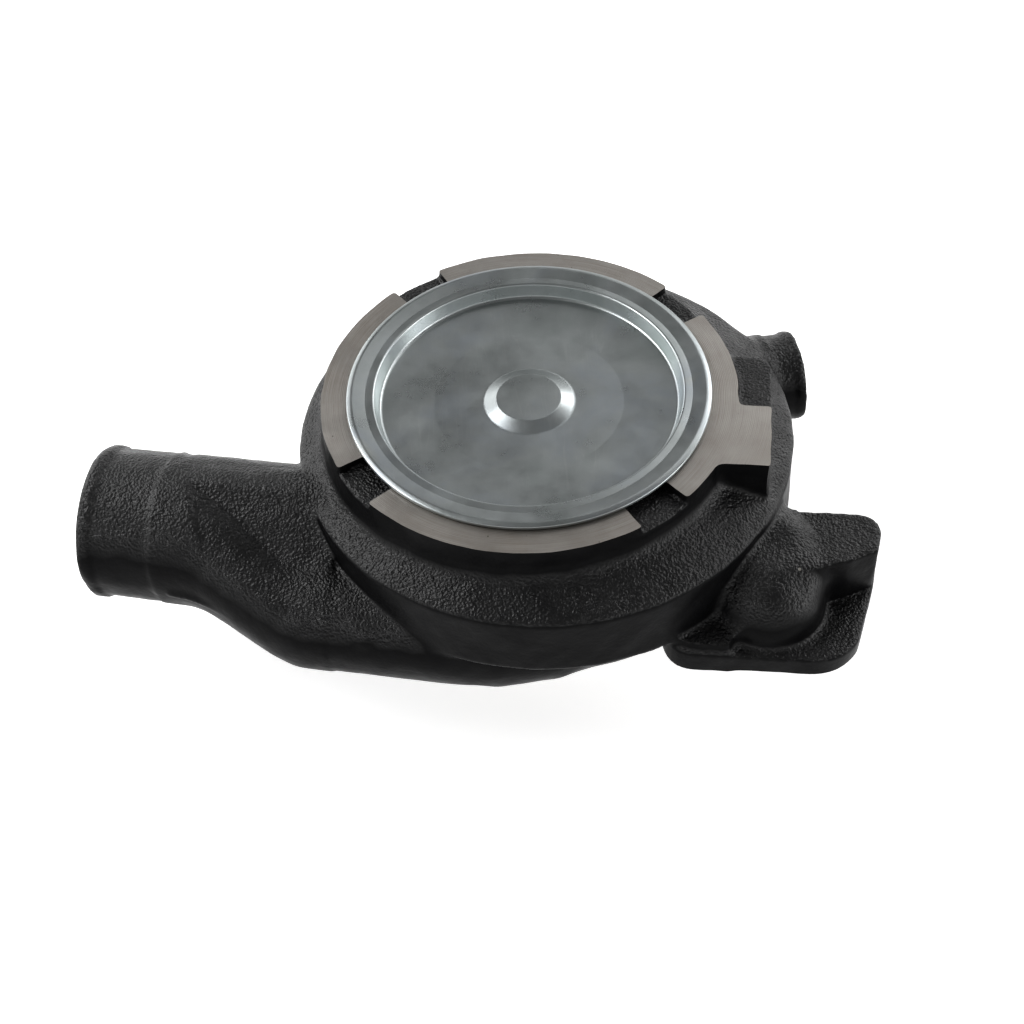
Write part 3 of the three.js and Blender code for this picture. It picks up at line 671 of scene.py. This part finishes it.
def rear_shape(f, body):
    flange = f.lathe([(0, 13), (34, 13), (34, 21.8), (48.2, 21.8), (48.2, MOUNT_Z - MACHINING),
                      (58, MOUNT_Z - MACHINING), (60, 48), (0, 48)])
    for angle in REAR_BOLT_ANGLES:
        a = math.radians(angle)
        centre = (REAR_BOLT_CIRCLE * math.cos(a), REAR_BOLT_CIRCLE * math.sin(a))
        boss = f.lathe([(0, MOUNT_Z - MACHINING), (10, MOUNT_Z - MACHINING), (11, 50), (0, 50)],
                       centre)
        flange = blend(flange, boss, 2.5)
    return blend(body, flange, 4.0)


def inner_room(f):
    """The cored spaces: suction chamber, volute, port and the three ways in and out."""
    suction = f.lathe([(0, 45), (48, 42), (64, 42), (71, 45), (75, 51), (75, 66), (0, 66)],
                      DRUM_CENTRE)
    tower = f.lathe([(0, 40), (36, 40), (33, 50), (31, 58), (24, 62), (24, 68), (0, 68)])
    rib = f.plate([(0, -5), (79, -5), (79, 5), (0, 5)], 40, 67, WEEP_ANGLE)
    suction = carve(suction, blend(tower, rib, 3.0), 3.0)
    throat = f.duct(INLET, [(40, 3, -8.3, 26, 11.2), (74, 6, -8.3, 30, 11.6),
                            (111, 0, 0, INLET["bore"] - 0.6, INLET["bore"] - 0.6),
                            (175, 0, 0, INLET["bore"] - 0.6, INLET["bore"] - 0.6)])
    spiral = [((57 + 22 * i / 60) * math.cos(math.radians(5 * i - 20)),
               (57 + 22 * i / 60) * math.sin(math.radians(5 * i - 20))) for i in range(61)]
    volute = f.plate(spiral + [(40, -60)], 71, 85)
    channel = f.plate([(0, -73), (30, -73), (50, -67), (62, -62), (74, -64), (74, -56),
                       (60, -50), (30, -50), (0, -54)], 71, 75)
    bore = OUTLET["bore"] - 0.3
    port = f.lathe([(0, 40), (bore, 40), (bore, 63), (10, 71), (0, 73)],
                   uv(OUTLET["u"], OUTLET["v"]))
    pressure = blend(blend(volute, channel, 2.0), port, 2.0)
    bypass = f.pipe(BYPASS, BYPASS["bore"] - 0.3, 68, 130)
    eye = f.lathe([(25, 64), (31, 64), (31, 73), (25, 73)])
    pot = f.lathe([(0, 71), (56, 71), (56, 98), (COVER_BORE_R - 1, 99), (COVER_BORE_R - 1, 120),
                   (0, 120)])
    return blend(blend(blend(suction, throat, 2.0), bypass, 1.0),
                 np.minimum(blend(pressure, pot, 0.5), eye), 0.4)


def ripple(f):
    """The slow unevenness of a cast skin."""
    draw = np.random.default_rng(7)
    total = 0.0
    for length, height in ((11, 0.07), (17, 0.09), (26, 0.1), (8, 0.05)):
        for _ in range(3):
            d = draw.normal(size=3)
            d *= 2 * math.pi / length / np.linalg.norm(d)
            total = total + height / 2 * np.sin(d[0] * f.x + d[1] * f.y + d[2] * f.z
                                                + draw.uniform(0, 6.28))
    return total


def half_space(axis_matrix, start):
    """A large block beyond a distance along a pipe's axis."""
    mesh = plate_mesh("cutter", [(-60, -60), (60, -60), (60, 60), (-60, 60)], start, start + 40)
    mesh.transform(axis_matrix)
    return mesh


def bar(pipe, r, start, end, sides=96):
    mesh = lathe_mesh("cutter", [(0, start), (r, start), (r, end), (0, end)], sides)
    mesh.transform(pipe_frame(pipe))
    return mesh


def hole(r, depth_top, bottom, x, y, cone=0.8):
    """A drilled hole with a small countersink at its mouth, opening downwards."""
    mesh = lathe_mesh("cutter", [(0, bottom - 5), (r + cone, bottom - 5), (r + cone, bottom),
                                 (r, bottom + cone), (r, depth_top), (0, depth_top + 0.6 * r)], 48)
    mesh.transform(Matrix.Translation((x * MM, y * MM, 0)))
    return mesh


def machining_cuts():
    """Every cutter that the machine shop runs over the casting."""
    top = lathe_mesh("cutter", [(0, PAD_Z), (150, PAD_Z), (150, 130), (0, 130)], 16)
    cover_bore = lathe_mesh("cutter", [(0, 97), (COVER_BORE_R, 97), (COVER_BORE_R, 99.2),
                                       (59.9, 99.2), (59.9, 101.8), (COVER_BORE_R, 101.8),
                                       (COVER_BORE_R, PAD_Z - 0.5), (COVER_BORE_R + 0.5, PAD_Z),
                                       (COVER_BORE_R + 0.5, 130), (0, 130)], 160)
    rear = lathe_mesh("cutter", [
        (34, 5), (34, 23), (46.4, 23), (47, 23.6), (47, 24.7), (44.9, 24.7), (44.9, 27.3),
        (47, 27.3), (47, MOUNT_Z), (88, MOUNT_Z), (88, 5)], 128)
    outlet = plate_mesh("cutter", outlet_plan(4.0), OUTLET["face"] - 6, OUTLET["face"], PORT_TURN)
    nose = lathe_mesh("cutter", [(0, 5), (150, 5), (150, 14), (0, 14)], 16)
    bearing_bore = lathe_mesh("cutter", [
        (0, 5), (26.8, 5), (26.8, 14), (26, 14.8), (26, 16.6), (27.4, 16.6), (27.4, 18.9),
        (26, 18.9), (26, 55.3), (14, 55.3), (14, 60), (18.5, 60), (18.5, 75), (0, 75)], 96)
    holes = []
    for angle in REAR_BOLT_ANGLES:
        a = math.radians(angle)
        holes.append(hole(REAR_HOLE_R, REAR_HOLE_TOP, MOUNT_Z, REAR_BOLT_CIRCLE * math.cos(a),
                          REAR_BOLT_CIRCLE * math.sin(a)))
    for u, v, depth in OUTLET_BOLTS:
        holes.append(hole(BOLT_HOLE_R, depth, OUTLET["face"], *uv(u, v)))
    holes.append(hole(OUTLET["bore"], OUTLET["face"] + 3, OUTLET["face"],
                      *uv(OUTLET["u"], OUTLET["v"])))
    weep = dict(angle=WEEP_ANGLE, offset=0, z=WEEP_Z)
    return [top, cover_bore, rear, outlet, nose, bearing_bore,
            half_space(pipe_frame(INLET), INLET["reach"]),
            half_space(pipe_frame(BYPASS), BYPASS["reach"]),
            bar(INLET, INLET["bore"], INLET["reach"] - 30, INLET["reach"] + 5),
            bar(BYPASS, BYPASS["bore"], BYPASS["reach"] - 20, BYPASS["reach"] + 5),
            bar(weep, WEEP_R, 12, 120, 24)] + holes


def near(values, target, tolerance=0.02):
    return np.abs(values / MM - target) < tolerance


def give_machined_faces(obj):
    """Bare iron on the faces that the cutters made, paint on the rest."""
    mesh = obj.data
    mesh.materials.clear()
    mesh.materials.append(PAINT)
    mesh.materials.append(MACHINED)
    count = len(mesh.polygons)
    normals = np.empty(count * 3, np.float32)
    centres = np.empty(count * 3, np.float32)
    mesh.polygons.foreach_get("normal", normals)
    mesh.polygons.foreach_get("center", centres)
    n, c = normals.reshape(-1, 3), centres.reshape(-1, 3)
    radius = np.hypot(c[:, 0], c[:, 1]) / MM
    flat_up = (n[:, 2] > 0.999) & near(c[:, 2], PAD_Z)
    flat_down = (n[:, 2] < -0.999) & (near(c[:, 2], MOUNT_Z) | near(c[:, 2], 14)
                                   | near(c[:, 2], 23) | near(c[:, 2], OUTLET["face"]))
    nose = (radius < 47.2) & (c[:, 2] < MOUNT_Z * MM)
    bearing = (radius < 27.6) & (c[:, 2] < 61 * MM)
    cover_seat = (radius < 60) & (c[:, 2] > 97.05 * MM)
    slot = np.where(flat_up | flat_down | nose | bearing | cover_seat, 1, 0).astype(np.int32)
    mesh.polygons.foreach_set("material_index", slot)


def make_casting():
    low, high = (-171, -97, 9), (129, 97, 110)
    f = Field(low, high, GRID)
    body = outer_skin(f)
    body = inlet_shape(f, body)
    body = bypass_shape(f, body)
    body = outlet_shape(f, body)
    body = rear_shape(f, body) + ripple(f)
    body = carve(body, inner_room(f), 0.6)
    casting = add_object("casting", f.mesh(body, "casting"))
    machine(casting, machining_cuts())
    give_machined_faces(casting)
    smooth(casting, 38)
    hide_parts("pump_body")
    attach(casting, "housing")


# ------------------------------------------------------------------ the cover
def rounded_path(points, radii, steps=6):
    """A polyline with each inner corner rounded: radii gives one per corner, 0 for a sharp one."""
    path = [points[0]]
    for before, corner, after, r in zip(points, points[1:], points[2:], radii):
        c = Vector(corner)
        a, b = Vector(before) - c, Vector(after) - c
        if r <= 0:
            path.append(tuple(c))
            continue
        half = a.angle(b) / 2
        reach = min(r / math.tan(half), a.length * 0.49, b.length * 0.49)
        p, q = c + a.normalized() * reach, c + b.normalized() * reach
        for i in range(steps + 1):
            t = i / steps
            path.append(tuple((1 - t) ** 2 * p + 2 * t * (1 - t) * c + t * t * q))
    path.append(points[-1])
    return path


def cover_outline():
    top, sheet = FLANGE_TOP, 2.0
    upper = [(0, top - 5.6), (11.6, top - 5.6), (16.4, top - 7.75), (34, top - 7.4),
             (53.6, top - 6.5), (55.0, top - 0.75), (58.2, top - 0.95), (63.2, top),
             (COVER_R, top - 0.5), (COVER_R, top - 1.6)]
    upper = rounded_path(upper, [1.2, 2.6, 8, 1.5, 1.1, 1.2, 2.5, 0.7])
    lower = [(COVER_R, top - sheet + 0.4), (COVER_R - 0.6, top - sheet), (57.1, top - sheet),
             (57.1, top - 7), (54.6, top - 8.6), (48, top - 8.6), (34, top - 7.4 - sheet),
             (15, top - 7.75 - sheet), (12.4, top - 6.2 - sheet), (11.2, top - 5.6 - sheet),
             (0, top - 5.6 - sheet)]
    return upper + lower


def make_cover():
    cover = add_object("pressed_cover", lathe_mesh("pressed_cover", cover_outline(), 256))
    cover.data.materials.append(ZINC)
    smooth(cover, 50)
    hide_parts("front_cover")
    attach(cover, "housing")


# ------------------------------------------------------------------ the drive gear
TEETH, MODULE, GEAR_WIDTH = 28, 3.0, 12.0


def involute_tooth(steps=7):
    """(radius, half angle) pairs up one flank of a 20 degree tooth."""
    pitch_r = TEETH * MODULE / 2
    base_r = pitch_r * math.cos(math.radians(20))
    tip_r, root_r = pitch_r + MODULE, pitch_r - 1.25 * MODULE

    def involute(r):
        if r <= base_r:
            return 0.0
        t = math.acos(base_r / r)
        return math.tan(t) - t
    at_pitch = math.pi / (2 * TEETH) - 0.004 + involute(pitch_r)
    flank = [(root_r, at_pitch + 0.016), (root_r + 0.7, at_pitch + 0.002)]
    for i in range(steps + 1):
        r = max(base_r, root_r + 1.2) + (tip_r - base_r) * i / steps
        r = min(r, tip_r)
        flank.append((r, at_pitch - involute(r)))
    return flank


def gear_plan():
    flank = involute_tooth()
    points = []
    for tooth in range(TEETH):
        middle = 2 * math.pi * tooth / TEETH
        for r, half in flank:
            points.append((r * math.cos(middle - half), r * math.sin(middle - half)))
        for r, half in reversed(flank):
            points.append((r * math.cos(middle + half), r * math.sin(middle + half)))
    return points


LIGHTENING_HOLES, LIGHTENING_CIRCLE, LIGHTENING_R = 6, 25.5, 4


def make_gear():
    gear = add_object("timing_gear", plate_mesh("timing_gear", gear_plan(), 0, GEAR_WIDTH))
    hub = lathe_mesh("hub", [(0, 5), (13.2, 5), (14, 5.8), (14, 18), (13.3, 18.7), (0, 18.7)], 96)
    join_or_cut(gear, hub, "UNION")
    cuts = [
        lathe_mesh("cutter", [(16.8, 9.8), (17.6, 9), (33, 9), (34.4, 10.4), (34.4, 15),
                              (16.8, 15)], 128),
        lathe_mesh("cutter", [(0, -1), (15.8, -1), (15.8, 0), (15, 0.8), (15, 10), (0, 10)], 96),
        lathe_mesh("cutter", [(0, 9), (8.8, 9), (8.8, 18.2), (9.3, 18.7), (9.3, 20), (0, 20)], 64),
        lathe_mesh("cutter", [(17.6, -1), (33, -1), (33, 0), (32.2, 0.9), (18.4, 0.9), (17.6, 0)],
                   128),
        # the chamfers over the ends of the teeth
        lathe_mesh("cutter", [(43.8, -1), (47, -1), (47, 1.6), (43.8, 0)], 128),
        lathe_mesh("cutter", [(43.8, 12), (47, 10.4), (47, 13), (43.8, 13)], 128),
    ]
    for i in range(LIGHTENING_HOLES):
        a = 2 * math.pi * i / LIGHTENING_HOLES
        mesh = lathe_mesh("cutter", [(0, -1), (LIGHTENING_R, -1), (LIGHTENING_R, 14), (0, 14)], 40)
        centre = Vector((math.cos(a), math.sin(a), 0)) * LIGHTENING_CIRCLE * MM
        mesh.transform(Matrix.Translation(centre))
        cuts.append(mesh)
    machine(gear, cuts)
    gear.data.materials.append(GEAR_STEEL)
    smooth(gear, 30)
    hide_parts("drive_gear")
    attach(gear, "rotor")


# ------------------------------------------------------------------ turned pieces and the nut
def turned_piece(name, outline, node, body, material, sides=96):
    piece = add_object(name, lathe_mesh(name, outline, sides))
    piece.data.materials.append(material)
    smooth(piece, 30)
    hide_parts(node)
    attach(piece, body)
    return piece


def make_turned_pieces():
    shaft = turned_piece("turned_shaft", [
        (0, 3.2), (0.9, 2.2), (1.9, 0), (5.1, 0), (6, 0.9), (6, 9.4), (5.4, 10), (8.1, 10),
        (8.5, 10.4), (8.5, 18.3), (8.2, 18.7), (9.6, 18.7), (10, 19.1), (10, 55.3), (12.1, 55.3),
        (12.5, 55.7), (12.5, 57.2), (12.1, 57.6), (8, 57.6), (8, 97.2), (7.2, 98), (0, 98)],
        "pump_shaft", "rotor", TURNED_STEEL)
    washer = turned_piece("plain_washer", [
        (6.4, 8.2), (11.7, 8.2), (12, 8.5), (12, 9.4), (11.7, 9.7), (6.4, 9.7)],
        "gear_washer", "rotor", HARDWARE_ZINC)
    ring = turned_piece("register_seal", arc(46.3, 26, 0.95, 0, 345, 23),
                        "register_o_ring", "housing", RUBBER, 160)


NUT_FLATS, NUT_Z = 19.0, (1.6, 7.9)


def make_nut():
    """Hexagon nut, chamfered at both ends, with a countersunk bore."""
    corner = NUT_FLATS / 2 / math.cos(math.pi / 6)
    nut = add_object("hex_nut", plate_mesh("hex_nut", [
        (corner * math.cos(math.pi * i / 3), corner * math.sin(math.pi * i / 3))
        for i in range(6)], *NUT_Z))
    low, high = NUT_Z
    flat, wide = NUT_FLATS / 2 - 0.3, corner + 3
    drop = (wide - flat) * math.tan(math.radians(30))
    machine(nut, [
        lathe_mesh("cutter", [(flat, low - 4), (wide, low - 4), (wide, low + drop), (flat, low)]),
        lathe_mesh("cutter", [(flat, high + 4), (flat, high), (wide, high - drop),
                              (wide, high + 4)]),
        lathe_mesh("cutter", [(0, low - 1), (7.9, low - 1), (6.3, low + 0.6), (6.3, high - 0.6),
                              (7.9, high + 1), (0, high + 1)])])
    nut.data.materials.append(HARDWARE_ZINC)
    smooth(nut, 30)
    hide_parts("gear_nut")
    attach(nut, "rotor")


# ------------------------------------------------------------------ materials of the CAD nodes
FINISHES = {
    "cover_o_ring": RUBBER, "register_o_ring": RUBBER, "seal_bellows": RUBBER,
    "seal_seat_grommet": RUBBER, "bearing_snap_ring": SPRING_STEEL, "seal_spring": SPRING_STEEL,
    "seal_cup": BRASS, "seal_carbon_ring": CARBON, "seal_seat": CERAMIC,
    "pump_shaft": TURNED_STEEL, "gear_washer": HARDWARE_ZINC, "gear_nut": HARDWARE_ZINC,
    "impeller": BARE_IRON, "rear_bearing_cage": BRASS, "front_bearing_cage": BRASS,
}


def finish_nodes():
    for name, obj in nodes.items():
        obj.data.materials.clear()
        obj.data.materials.append(FINISHES.get(name, BEARING_STEEL))


# ------------------------------------------------------------------ studio
CAMERA_AT = (-8.7, -401.8, 403.9 + FLANGE_TOP)     # millimetres
CAMERA_DOWN = 49.61                                 # degrees below the horizon
CAMERA_ROLL = -3.75
LENS = 56.25                                        # millimetres on a 36 mm sensor


def make_camera():
    down, roll = math.radians(CAMERA_DOWN), math.radians(CAMERA_ROLL)
    ahead = Vector((0, math.cos(down), -math.sin(down)))
    level = Vector((1, 0, 0))
    above = level.cross(ahead)
    right = math.cos(roll) * level + math.sin(roll) * above
    up = -math.sin(roll) * level + math.cos(roll) * above
    data = bpy.data.cameras.new("camera")
    data.lens, data.sensor_width = LENS, 36.0
    data.clip_start = 0.01
    camera = bpy.data.objects.new("camera", data)
    turn = Matrix((right, up, -ahead)).transposed().to_4x4()
    camera.matrix_world = Matrix.Translation(Vector(CAMERA_AT) * MM) @ turn
    bpy.context.collection.objects.link(camera)
    bpy.context.scene.camera = camera


def area_light(name, place, target, size, power):
    data = bpy.data.lights.new(name, "AREA")
    data.shape = "RECTANGLE"
    data.size, data.size_y = size
    data.energy = power
    light = bpy.data.objects.new(name, data)
    light.location = place
    light.rotation_euler = (Vector(target) - Vector(place)).to_track_quat("-Z", "Y").to_euler()
    bpy.context.collection.objects.link(light)


def make_floor():
    bm = bmesh.new()
    bmesh.ops.create_grid(bm, x_segments=24, y_segments=24, size=3.0)
    mesh = bpy.data.meshes.new("studio_floor")
    bm.to_mesh(mesh)
    bm.free()
    floor = add_object("studio_floor", mesh)
    m = Shader("studio_paper")
    tone = m.ramp(m.noise(9, detail=2), [(0.3, 0.86), (0.7, 0.88)])
    m.set(Base_Color=tone, Roughness=0.9, Emission_Color=(1, 1, 1), Emission_Strength=0.68)
    floor.data.materials.append(m.material)
    floor.location.z = -0.0003                     # clear of the gear's end face


def make_world():
    """A dim room above a pale band round the horizon."""
    world = bpy.data.worlds.new("studio")
    world.use_nodes = True
    tree = world.node_tree
    place = tree.nodes.new("ShaderNodeTexCoord")
    split = tree.nodes.new("ShaderNodeSeparateXYZ")
    tree.links.new(place.outputs["Generated"], split.inputs[0])
    fade = tree.nodes.new("ShaderNodeMapRange")
    fade.interpolation_type = "SMOOTHSTEP"
    for name, value in (("From Min", 0.26), ("From Max", 0.46), ("To Min", 0.84),
                        ("To Max", 0.2)):
        fade.inputs[name].default_value = value
    tree.links.new(split.outputs[2], fade.inputs["Value"])
    tree.nodes["Background"].inputs["Color"].default_value = (1, 1, 1, 1)
    tree.links.new(fade.outputs["Result"], tree.nodes["Background"].inputs["Strength"])
    bpy.context.scene.world = world


def make_studio():
    make_floor()
    make_world()
    aim = (0, 0, 0.07)
    area_light("left_softbox", (-0.95, 0.2, 0.92), aim, (0.85, 0.8), 11)
    area_light("left_back_softbox", (-0.95, 1.0, 0.6), aim, (1.0, 0.7), 4)
    area_light("right_back_softbox", (1.0, 0.75, 0.7), aim, (0.8, 0.6), 5.5)
    area_light("top_back_softbox", (0.6, 1.0, 1.06), aim, (0.8, 0.8), 2.7)
    area_light("right_softbox", (1.3, -0.3, 0.45), aim, (0.6, 0.5), 4.5)
    bpy.context.scene.view_settings.view_transform = "Standard"
    bpy.context.scene.view_settings.gamma = 0.9        # deep blacks under a white floor


finish_nodes()
make_casting()
make_cover()
make_gear()
make_turned_pieces()
make_nut()
make_camera()
make_studio()
